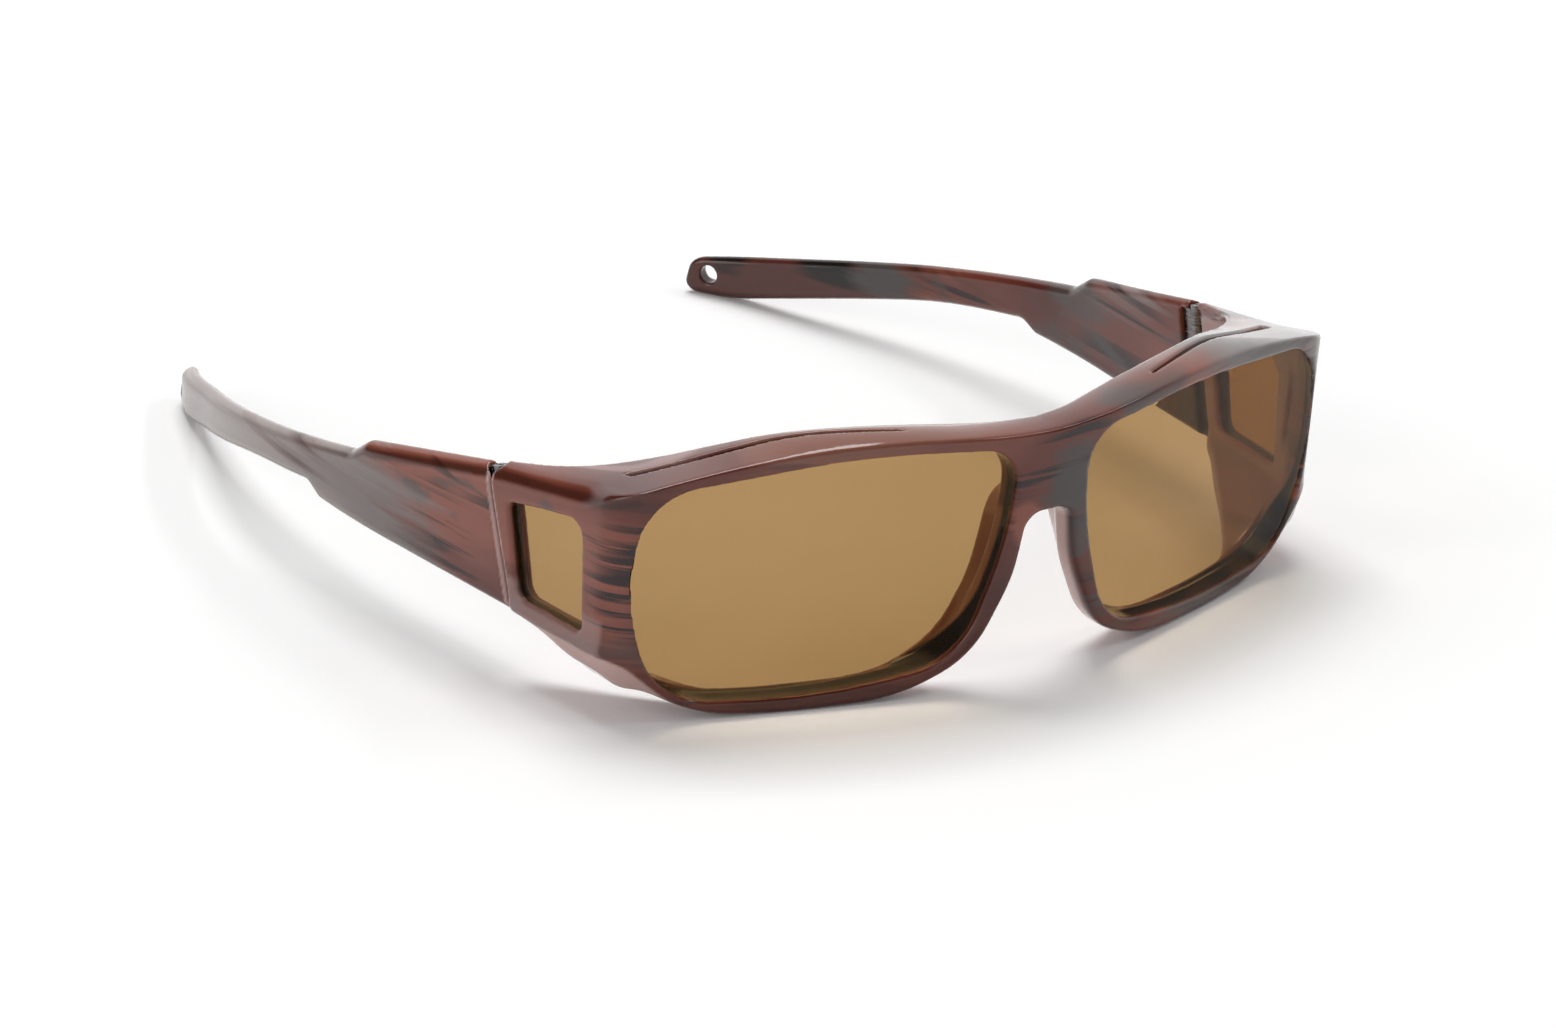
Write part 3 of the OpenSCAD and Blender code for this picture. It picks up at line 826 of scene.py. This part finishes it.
def mark_temple(temple):
    """Marks a painted highlight along the edge at the seam and a painted dark reflection along the upper edge
    """
    x, y, z = plan_points(temple)
    along, out = along_temple(x, y)
    below = -upper_half(distance(temple_outline(), y, z), along, z)
    arm = rise(along, *ARM_START)
    # Painted dark reflection along the upper edge, narrower and fainter along the arm
    line = dark_reflection_line(below * blend(1, ARM_LINE_SQUEEZE, arm), WALL / 2 - out)
    mark(temple, "dark_reflection_line", line * blend(1, ARM_EDGE_MARK, arm))
    # Painted highlight along the temple's edge at the seam
    band_end = SEAM_GAP / 2 + SEAM_BAND
    mark(temple, "thin_backlight_and_glint", SEAM_MARK * fall(past_seam(x, y, z), band_end - SEAM_SOFT, SEAM_SOFT))


# Tools for materials, which are trees of nodes
WHITE = (1, 1, 1)
BLACK = (0, 0, 0)
SPOT_FADE = [(0.7, WHITE), (1.0, BLACK)]


def grey(level):
    return (level,) * 3


def new_material(name):
    """A new material, its node tree and its shader"""
    material = bpy.data.materials.new(name)
    material.use_nodes = True
    return material, material.node_tree, material.node_tree.nodes["Principled BSDF"]


def calculate(tree, operation, a, b):
    """A Math node's result; b is a number or another node's output"""
    node = tree.nodes.new("ShaderNodeMath")
    node.operation = operation
    tree.links.new(a, node.inputs[0])
    if isinstance(b, float):
        node.inputs[1].default_value = b
    else:
        tree.links.new(b, node.inputs[1])
    return node.outputs[0]


def vector_math(tree, operation, a, b=None):
    """A Vector Math node, whose second vector is constant"""
    node = tree.nodes.new("ShaderNodeVectorMath")
    node.operation = operation
    tree.links.new(a, node.inputs[0])
    if b is not None:
        node.inputs[1].default_value = b
    return node


def coordinates(tree, kind):
    return tree.nodes.new("ShaderNodeTexCoord").outputs[kind]


def mapped_noise(tree, stretch, detail, warp=0.0, turn=(0, 0, 0), offset=(0, 0, 0), scale=1.0):
    """Noise over the piece's own coordinates, stretched along some axes"""
    mapping = tree.nodes.new("ShaderNodeMapping")
    mapping.inputs["Scale"].default_value = stretch
    mapping.inputs["Rotation"].default_value = turn
    mapping.inputs["Location"].default_value = offset
    noise = tree.nodes.new("ShaderNodeTexNoise")
    noise.inputs["Scale"].default_value = scale
    noise.inputs["Detail"].default_value = detail
    noise.inputs["Distortion"].default_value = warp
    tree.links.new(coordinates(tree, "Object"), mapping.inputs["Vector"])
    tree.links.new(mapping.outputs["Vector"], noise.inputs["Vector"])
    return noise.outputs["Fac"]


def ramp(tree, source, stops):
    """Colours over a value, from stops (position, colour)"""
    node = tree.nodes.new("ShaderNodeValToRGB")
    node.color_ramp.interpolation = "EASE"
    elements = node.color_ramp.elements
    while len(elements) < len(stops):
        elements.new(0.5)
    for element, (position, colour) in zip(elements, stops):
        element.position = position
        element.color = (*colour, 1)
    tree.links.new(source, node.inputs["Fac"])
    return node.outputs["Color"]


def mask(tree, source, start, full, strength=1.0):
    """Rises from 0 to a strength as a value goes from start to full"""
    return ramp(tree, source, [(start, BLACK), (full, grey(strength))])


def mix(tree, factor, a, b):
    """Colour a turning into b; each is a colour or another node's output"""
    node = tree.nodes.new("ShaderNodeMix")
    node.data_type = "RGBA"
    tree.links.new(factor, node.inputs["Factor"])
    for socket, value in (("A", a), ("B", b)):
        target = next(s for s in node.inputs if s.name == socket and s.type == "RGBA")
        if isinstance(value, tuple):
            target.default_value = (*value, 1)
        else:
            tree.links.new(value, target)
    return next(s for s in node.outputs if s.type == "RGBA")


def bump(tree, height, strength, depth):
    """A surface direction from a height, with a strength and a depth in metres"""
    node = tree.nodes.new("ShaderNodeBump")
    node.inputs["Strength"].default_value = strength
    node.inputs["Distance"].default_value = depth
    tree.links.new(height, node.inputs["Height"])
    return node.outputs["Normal"]


def spot(tree, centre, radii, ragged):
    """A soft patch around a point in millimetres in the plan frame, with a ragged edge"""
    middle = tuple((c - o) / MM_PER_M for c, o in zip(centre, (0, ORIGIN_Y, 0)))
    moved = vector_math(tree, "SUBTRACT", coordinates(tree, "Object"), middle)
    scaled = vector_math(tree, "DIVIDE", moved.outputs["Vector"], tuple(r / MM_PER_M for r in radii))
    away = vector_math(tree, "LENGTH", scaled.outputs["Vector"])
    uneven = calculate(tree, "ADD", away.outputs["Value"], ragged)
    return ramp(tree, uneven, SPOT_FADE)


# Colours of the plastic
DARK_RED = (0.022, 0.006, 0.005)
DEEP_RED = (0.085, 0.016, 0.010)
WARM_RED = (0.155, 0.036, 0.023)
LIGHT_RED = (0.29, 0.085, 0.056)
SMOKE = (0.075, 0.062, 0.058)
# Colours of the marks: pale pink for light painted through thinner plastic and for painted seam highlights,
# dark red for a painted dark reflection, and near black for painted shade inside the openings, also used for
# two dark patches of a temple
PALE_PINK = (0.60, 0.40, 0.37)
EDGE_RED = (0.050, 0.011, 0.006)
NEAR_BLACK = (0.012, 0.008, 0.006)
MARKED_COLOURS = [("dark_reflection_line", EDGE_RED), ("thin_backlight_and_glint", PALE_PINK), ("painted_shade", NEAR_BLACK)]

# Noise patterns of the plastic: stretch along each axis, detail and distortion
DRIFT_NOISE = ((16, 12, 34), 2, 0.6)
STREAK_NOISE = ((17, 15, 320), 5, 0.8)
AREA_NOISE = ((22, 20, 48), 2, 0.5)
SMOKE_NOISE = ((26, 24, 66), 3, 1.4)
LINE_NOISE = ((17, 15, 560), 4, 0.5)
RAGGED = 0.9

# What the patterns turn into: colours, or the values where a mask starts and is full, and its strength
DRIFT_COLOURS = [(0.34, DEEP_RED), (0.50, WARM_RED), (0.68, LIGHT_RED)]
STREAK_MASK = (0.50, 0.58)
AREA_MASK = (0.50, 0.62)
SMOKE_MASK = (0.55, 0.66, 0.8)
LINE_MASK = (0.47, 0.56)

# Gloss of the plastic, and the fine unevenness of its surface
PLASTIC_IOR = 1.46
FINE_NOISE = ((1, 1, 1), 3)
FINE_SCALE = 900
PLASTIC_ROUGHNESS = [(0.3, grey(0.07)), (0.7, grey(0.12))]
PLASTIC_BUMP = (0.03, 0.0002)

# Patches of the plastic, some of them painted reflections: place and half sizes in millimetres, and colour
FRONT_PATCHES_AND_REFLECTIONS = [
    ((4, 0, 35), (13, 6, 14), SMOKE),
    ((-5, 0, 28), (6, 12, 9), LIGHT_RED),
    # Painted reflections on the far side: pale grey sheen over the shelf and corner, and a darker grey
    # painted reflection on the brow's front
    ((56, 16, 45), (76, 50, 11), (0.205, 0.175, 0.165)),
    ((73, 22, 38), (26, 34, 22), (0.32, 0.30, 0.295)),
    ((54, 10, 42), (60, 12, 9), (0.125, 0.112, 0.108)),
    ((69, 7, 24), (14, 26, 40), (0.150, 0.112, 0.105)),
    ((66, 8, 9), (36, 30, 18), (0.066, 0.057, 0.055)),
    ((50, 4, 2), (50, 24, 9), (0.110, 0.092, 0.088)),
    ((-38, 4, 1), (50, 24, 10), DEEP_RED),
    ((-36, 8, 46), (60, 40, 9), (0.240, 0.090, 0.060)),
]
TEMPLE_PATCHES_AND_REFLECTIONS = [
    # Painted reflection: pale grey sheen over the near temple's outer face, paler toward the tip
    ((-76, 88, 16), (24, 50, 24), (0.215, 0.175, 0.165)),
    ((-66, 152, 8), (90, 150, 90), (0.310, 0.255, 0.235)),
    ((68, 74, 34), (14, 36, 20), (0.230, 0.160, 0.150)),
    ((68, 84, 10), (14, 44, 12), DARK_RED),
    ((60, 160, 6), (60, 120, 60), (0.095, 0.026, 0.018)),
    ((56, 168, 8.5), (16, 10, 6), NEAR_BLACK),
    ((65, 147, 12), (16, 18, 8), NEAR_BLACK),
    ((68, 135, 13), (16, 18, 8), SMOKE),
]
STREAKED_AT = [((-70, 14, 24), (26, 26, 34)), ((70, 14, 24), (26, 26, 34))]

# Slope of the streaks in radians, and where the pattern starts
FRONT_GRAIN = (0.0, (3.1, 0.7, 1.9))
TEMPLE_GRAIN = (0.19, (1.3, 4.2, 0.4))


def streaked_plastic(name, grain, patches_and_reflections, streaked_at=()):
    """Glossy red-brown plastic with drifts of red, dark streaks, smoky patches, patches of painted
    reflection, and the marks' painted shade, highlights, dark reflection and light through thinner plastic
    """
    material, tree, shader = new_material(name)
    slope, offset = grain

    def noise(stretch, detail, warp):
        return mapped_noise(tree, stretch, detail, warp, (slope, 0, 0), offset)

    colour = ramp(tree, noise(*DRIFT_NOISE), DRIFT_COLOURS)
    streaks = noise(*STREAK_NOISE)
    some_areas = mask(tree, noise(*AREA_NOISE), *AREA_MASK)
    dark = calculate(tree, "MULTIPLY", mask(tree, streaks, *STREAK_MASK), some_areas)
    colour = mix(tree, dark, colour, DARK_RED)
    colour = mix(tree, mask(tree, noise(*SMOKE_NOISE), *SMOKE_MASK), colour, SMOKE)

    ragged = calculate(tree, "MULTIPLY", streaks, RAGGED)
    # Patches of colour, some of them painted reflections
    for centre, radii, shade in patches_and_reflections:
        colour = mix(tree, spot(tree, centre, radii, ragged), colour, shade)
    lines = mask(tree, noise(*LINE_NOISE), *LINE_MASK)
    for centre, radii in streaked_at:
        here = calculate(tree, "MULTIPLY", lines, spot(tree, centre, radii, ragged))
        colour = mix(tree, here, colour, DARK_RED)
    # The marks' colours: painted shade, a painted highlight, a painted dark reflection and light painted
    # through thinner plastic
    for marked_as, shade in MARKED_COLOURS:
        marked = tree.nodes.new("ShaderNodeAttribute")
        marked.attribute_name = marked_as
        colour = mix(tree, marked.outputs["Fac"], colour, shade)
    tree.links.new(colour, shader.inputs["Base Color"])

    fine = mapped_noise(tree, *FINE_NOISE, scale=FINE_SCALE)
    tree.links.new(ramp(tree, fine, PLASTIC_ROUGHNESS), shader.inputs["Roughness"])
    shader.inputs["IOR"].default_value = PLASTIC_IOR
    tree.links.new(bump(tree, fine, *PLASTIC_BUMP), shader.inputs["Normal"])
    return material


# Brown lenses: faint drift, tints, how much they bend light, and the colour of light that passes to the floor
GLASS_NOISE = ((20, 20, 30), 2)
GLASS_TINTS = [(0.3, (0.40, 0.248, 0.100)), (0.7, (0.425, 0.264, 0.114))]
GLASS_IOR = 1.16
GLASS_SHADOW = (0.78, 0.76, 0.73, 1)


def brown_glass(name):
    """Brown see-through lens, evenly tinted with a faint drift, that lets light through to the floor"""
    material, tree, shader = new_material(name)
    drift = mapped_noise(tree, *GLASS_NOISE)
    tree.links.new(ramp(tree, drift, GLASS_TINTS), shader.inputs["Base Color"])
    shader.inputs["Transmission Weight"].default_value = 1.0
    shader.inputs["Roughness"].default_value = 0.0
    shader.inputs["IOR"].default_value = GLASS_IOR
    clear = tree.nodes.new("ShaderNodeBsdfTransparent")
    clear.inputs["Color"].default_value = GLASS_SHADOW
    path = tree.nodes.new("ShaderNodeLightPath")
    both = tree.nodes.new("ShaderNodeMixShader")
    tree.links.new(path.outputs["Is Shadow Ray"], both.inputs["Fac"])
    tree.links.new(shader.outputs["BSDF"], both.inputs[1])
    tree.links.new(clear.outputs["BSDF"], both.inputs[2])
    tree.links.new(both.outputs["Shader"], tree.nodes["Material Output"].inputs["Surface"])
    return material


# Hinge metal: its turning marks, and the colours, roughness and unevenness that they give
METAL_NOISE = ((300, 300, 4000), 4)
METAL_TINTS = [(0.35, (0.13, 0.12, 0.118)), (0.65, (0.24, 0.225, 0.22))]
METAL_ROUGHNESS = [(0.3, grey(0.22)), (0.7, grey(0.38))]
METAL_BUMP = (0.15, 0.0001)


def hinge_metal(name):
    """Plain nickel-coloured metal with fine turning marks and small scratches"""
    material, tree, shader = new_material(name)
    marks = mapped_noise(tree, *METAL_NOISE)
    tree.links.new(ramp(tree, marks, METAL_TINTS), shader.inputs["Base Color"])
    shader.inputs["Metallic"].default_value = 1.0
    tree.links.new(ramp(tree, marks, METAL_ROUGHNESS), shader.inputs["Roughness"])
    tree.links.new(bump(tree, marks, *METAL_BUMP), shader.inputs["Normal"])
    return material


def paint(obj, material):
    obj.data.materials.clear()
    obj.data.materials.append(material)


# Stage and light, in metres; light on a surface that faces up comes to about 1
WORLD_LIGHT = 0.26
FLOOR_REACH = 4.0
FLOOR_PALE = 0.80
FLOOR_SEEN = 0.97
FLOOR_ROUGHNESS = 0.9
GLOW_NEAR = 0.06
GLOW_NEAR_AT = 0.10
GLOW_FAR = 0.45
GLOW_FAR_AT = 0.60

# Lamps: name, place, size and power; all point at the middle of the part
LAMPS = [
    ("overhead", (0.3, 0.75, 2.4), (1.6, 1.2), 41.5),
    ("edge_strip", (1.1, -0.7, 1.45), (0.9, 0.12), 4.0),
    ("side_fill", (-1.8, 0.2, 0.9), (1.2, 1.2), 8.0),
]

# Parts of the studio that reflections show dark: direction, and cosines where it starts and is full
DARK_SIDES = [((-0.43, 0.72, 0.54), 0.86, 0.95), ((0.28, -0.58, 0.76), 0.70, 0.86)]
DARK_LEVEL = 0.05


def seen_white(tree):
    """1 for a ray that shows the surface to the eye, directly, in a reflection or through a lens"""
    path = tree.nodes.new("ShaderNodeLightPath")
    seen = path.outputs["Is Camera Ray"]
    for kind in ("Is Glossy Ray", "Is Transmission Ray"):
        seen = calculate(tree, "MAXIMUM", seen, path.outputs[kind])
    return seen


def make_floor():
    """A wide pale floor that shows white where nothing shades it"""
    square = [(-1, -1), (1, -1), (1, 1), (-1, 1)]
    mesh = bpy.data.meshes.new("floor")
    mesh.from_pydata([(FLOOR_REACH * x, FLOOR_REACH * y, 0) for x, y in square], [], [(0, 1, 2, 3)])
    floor = bpy.data.objects.new("floor", mesh)
    bpy.context.scene.collection.objects.link(floor)

    material, tree, shader = new_material("pale_floor")
    seen = seen_white(tree)
    pale = mix(tree, seen, grey(FLOOR_PALE), grey(FLOOR_SEEN))
    tree.links.new(pale, shader.inputs["Base Color"])
    shader.inputs["Roughness"].default_value = FLOOR_ROUGHNESS
    shader.inputs["Specular IOR Level"].default_value = 0.0
    away = vector_math(tree, "LENGTH", coordinates(tree, "Object"))
    level = tree.nodes.new("ShaderNodeMapRange")
    level.inputs["From Min"].default_value = GLOW_NEAR_AT
    level.inputs["From Max"].default_value = GLOW_FAR_AT
    level.inputs["To Min"].default_value = GLOW_NEAR
    level.inputs["To Max"].default_value = GLOW_FAR
    tree.links.new(away.outputs["Value"], level.inputs["Value"])
    glow = calculate(tree, "MULTIPLY", level.outputs["Result"], seen)
    shader.inputs["Emission Color"].default_value = (*WHITE, 1)
    tree.links.new(glow, shader.inputs["Emission Strength"])
    paint(floor, material)


def make_world():
    """Even soft light, from surroundings that reflections show white, with two dark parts higher up"""
    world = bpy.data.worlds.new("studio")
    world.use_nodes = True
    tree = world.node_tree
    place = coordinates(tree, "Generated")
    shown = WHITE
    for direction, start, full in DARK_SIDES:
        toward = vector_math(tree, "DOT_PRODUCT", place, Vector(direction).normalized())
        shown = mix(tree, mask(tree, toward.outputs["Value"], start, full), shown, grey(DARK_LEVEL))
    colour = mix(tree, seen_white(tree), grey(WORLD_LIGHT), shown)
    tree.links.new(colour, tree.nodes["Background"].inputs["Color"])
    bpy.context.scene.world = world


def make_lamp(name, place, size, power):
    """A rectangular area lamp that points at the middle of the part"""
    data = bpy.data.lights.new(name, "AREA")
    data.shape = "RECTANGLE"
    data.size, data.size_y = size
    data.energy = power
    lamp = bpy.data.objects.new(name, data)
    lamp.location = place
    lamp.rotation_euler = (-Vector(place)).to_track_quat("-Z", "Y").to_euler()
    bpy.context.scene.collection.objects.link(lamp)


# Camera of the photograph: angles, distance and target in metres, focal length in pixels of its frame
CAMERA_AZIMUTH = -36.381
CAMERA_ELEVATION = 22.292
CAMERA_ROLL = 2.177
CAMERA_DISTANCE = 1.33466
CAMERA_TARGET = np.array([-0.005126, -0.020705, 0.006335])
FOCAL_PX = 8000
FRAME_W_PX = 1556
SENSOR_W = 36
CLIP_END = 20


def make_camera():
    """The camera at the photograph's viewing angle"""
    ca, sa = wave(CAMERA_AZIMUTH)
    ce, se = wave(CAMERA_ELEVATION)
    cr, sr = wave(CAMERA_ROLL)
    back = np.array([sa * ce, -ca * ce, se])
    right = np.array([ca, sa, 0.0])
    up = np.cross(back, right)
    place = CAMERA_TARGET + back * CAMERA_DISTANCE
    columns = np.stack([cr * right + sr * up, -sr * right + cr * up, back, place], axis=1)

    data = bpy.data.cameras.new("camera")
    data.sensor_fit = "HORIZONTAL"
    data.sensor_width = SENSOR_W
    data.lens = FOCAL_PX / FRAME_W_PX * SENSOR_W
    data.clip_end = CLIP_END
    camera = bpy.data.objects.new("camera", data)
    camera.matrix_world = Matrix(columns.tolist() + [[0, 0, 0, 1]])
    bpy.context.scene.collection.objects.link(camera)
    bpy.context.scene.camera = camera


# The pieces
def make_front(plastic):
    """The front, in place of its CAD node"""
    front = make("front_frame_look", *front_parts())
    mark_front(front)
    paint(front, plastic)
    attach(front, "front")
    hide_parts("front_frame")


def make_temples(plastic):
    """Both temples, in place of their CAD nodes"""
    temples = pair("temple", model(temple_shape, TEMPLE_BOX))
    for side, temple in zip(("left", "right"), temples):
        mark_temple(temple)
        paint(temple, plastic)
        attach(temple, "temple_" + side)
        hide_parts("temple_" + side)


def make_lenses(glass):
    """All four lenses, in place of their CAD nodes"""
    lenses = pair("lens", model(lens_shape, LENS_BOX, LENS_CELL))
    side_lenses = pair("side_lens", model(side_lens_shape, SIDE_LENS_BOX, SIDE_LENS_CELL))
    for kind, objects in (("lens_", lenses), ("side_lens_", side_lenses)):
        for side, obj in zip(("left", "right"), objects):
            paint(obj, glass)
            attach(obj, "front")
            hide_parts(kind + side)


def main():
    bpy.context.scene.view_settings.view_transform = "Standard"
    make_camera()
    make_floor()
    make_world()
    for settings in LAMPS:
        make_lamp(*settings)

    front_plastic = streaked_plastic("streaked_plastic_front", FRONT_GRAIN, FRONT_PATCHES_AND_REFLECTIONS, STREAKED_AT)
    temple_plastic = streaked_plastic("streaked_plastic_temple", TEMPLE_GRAIN, TEMPLE_PATCHES_AND_REFLECTIONS)
    glass = brown_glass("brown_lens_look")
    metal = hinge_metal("hinge_metal_look")

    make_front(front_plastic)
    make_temples(temple_plastic)
    make_lenses(glass)
    for kind in ("front_hinge_", "temple_hinge_", "hinge_screw_"):
        for side in ("left", "right"):
            paint(bpy.data.objects[kind + side], metal)


main()
